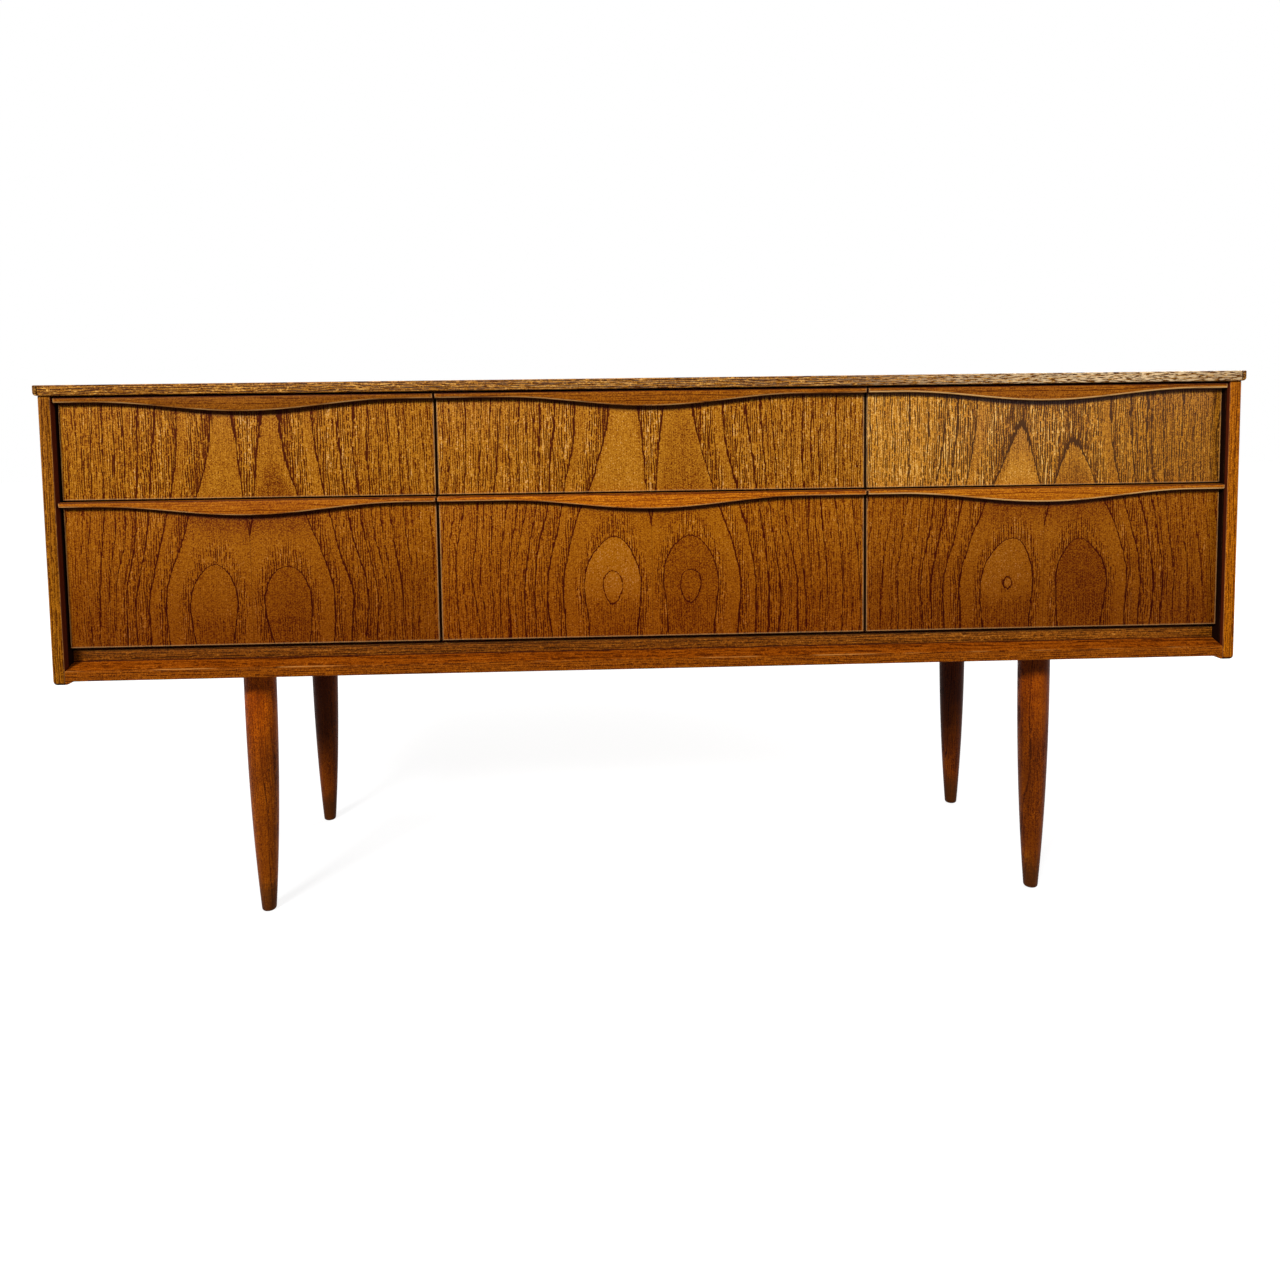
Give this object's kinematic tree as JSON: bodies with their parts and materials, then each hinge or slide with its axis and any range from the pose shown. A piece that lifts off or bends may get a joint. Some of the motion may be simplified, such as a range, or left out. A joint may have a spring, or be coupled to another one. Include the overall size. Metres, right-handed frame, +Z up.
{
  "type": "dresser with drawers",
  "caption": "Low teak dresser: veneered case filled with columns of drawers, full-width carved lip pulls, bevelled bottom rail and slim turned tapered legs.",
  "frame": {"origin": "on the floor under the middle of the top board", "axes": "+X to the right seen from the front, +Y towards the back, +Z up; the drawers open towards -Y"},
  "size_m": [1.524, 0.457, 0.711],
  "materials": {
    "teak_veneer": "crown-cut golden brown teak veneer under a thin satin lacquer",
    "teak_solid": "solid orange-brown teak, satin, edges eased",
    "teak_rail": "solid teak, olive to reddish brown, satin",
    "teak_leg": "turned solid teak, blotchy orange-brown, satin, darker at the tips",
    "pale_hardwood": "pale close-grained hardwood, planed and waxed",
    "plywood": "thin rotary-cut plywood, sanded, unlacquered"
  },
  "bodies": {
    "case": {"top_board": "teak_veneer", "left_side_panel": "teak_veneer", "right_side_panel": "teak_veneer", "bottom_board": "teak_veneer", "bottom_front_rail": "teak_rail", "plinth_rail": "teak_rail", "back_panel": "plywood", "left_divider": "pale_hardwood", "right_divider": "pale_hardwood", "left_side_bearer": "pale_hardwood", "left_divider_bearer": "pale_hardwood", "right_divider_bearer": "pale_hardwood", "right_side_bearer": "pale_hardwood", "left_column_left_runner": "pale_hardwood", "left_column_right_runner": "pale_hardwood", "middle_column_left_runner": "pale_hardwood", "middle_column_right_runner": "pale_hardwood", "right_column_left_runner": "pale_hardwood", "right_column_right_runner": "pale_hardwood", "front_left_leg": "teak_leg", "front_right_leg": "teak_leg", "back_left_leg": "teak_leg", "back_right_leg": "teak_leg"},
    "upper_left_drawer": {"upper_left_drawer_front": "teak_veneer", "upper_left_drawer_pull": "teak_solid", "upper_left_drawer_left_side": "pale_hardwood", "upper_left_drawer_right_side": "pale_hardwood", "upper_left_drawer_back": "pale_hardwood", "upper_left_drawer_bottom": "plywood"},
    "upper_middle_drawer": {"upper_middle_drawer_front": "teak_veneer", "upper_middle_drawer_pull": "teak_solid", "upper_middle_drawer_left_side": "pale_hardwood", "upper_middle_drawer_right_side": "pale_hardwood", "upper_middle_drawer_back": "pale_hardwood", "upper_middle_drawer_bottom": "plywood"},
    "upper_right_drawer": {"upper_right_drawer_front": "teak_veneer", "upper_right_drawer_pull": "teak_solid", "upper_right_drawer_left_side": "pale_hardwood", "upper_right_drawer_right_side": "pale_hardwood", "upper_right_drawer_back": "pale_hardwood", "upper_right_drawer_bottom": "plywood"},
    "lower_left_drawer": {"lower_left_drawer_front": "teak_veneer", "lower_left_drawer_pull": "teak_solid", "lower_left_drawer_left_side": "pale_hardwood", "lower_left_drawer_right_side": "pale_hardwood", "lower_left_drawer_back": "pale_hardwood", "lower_left_drawer_bottom": "plywood"},
    "lower_middle_drawer": {"lower_middle_drawer_front": "teak_veneer", "lower_middle_drawer_pull": "teak_solid", "lower_middle_drawer_left_side": "pale_hardwood", "lower_middle_drawer_right_side": "pale_hardwood", "lower_middle_drawer_back": "pale_hardwood", "lower_middle_drawer_bottom": "plywood"},
    "lower_right_drawer": {"lower_right_drawer_front": "teak_veneer", "lower_right_drawer_pull": "teak_solid", "lower_right_drawer_left_side": "pale_hardwood", "lower_right_drawer_right_side": "pale_hardwood", "lower_right_drawer_back": "pale_hardwood", "lower_right_drawer_bottom": "plywood"}
  },
  "joints": [
    {"name": "upper_left_drawer_slide", "type": "slide", "parent": "case", "child": "upper_left_drawer", "axis": [0, -1, 0], "range_m": [0, 0.3]},
    {"name": "upper_middle_drawer_slide", "type": "slide", "parent": "case", "child": "upper_middle_drawer", "axis": [0, -1, 0], "range_m": [0, 0.3]},
    {"name": "upper_right_drawer_slide", "type": "slide", "parent": "case", "child": "upper_right_drawer", "axis": [0, -1, 0], "range_m": [0, 0.3]},
    {"name": "lower_left_drawer_slide", "type": "slide", "parent": "case", "child": "lower_left_drawer", "axis": [0, -1, 0], "range_m": [0, 0.3]},
    {"name": "lower_middle_drawer_slide", "type": "slide", "parent": "case", "child": "lower_middle_drawer", "axis": [0, -1, 0], "range_m": [0, 0.3]},
    {"name": "lower_right_drawer_slide", "type": "slide", "parent": "case", "child": "lower_right_drawer", "axis": [0, -1, 0], "range_m": [0, 0.3]}
  ]
}
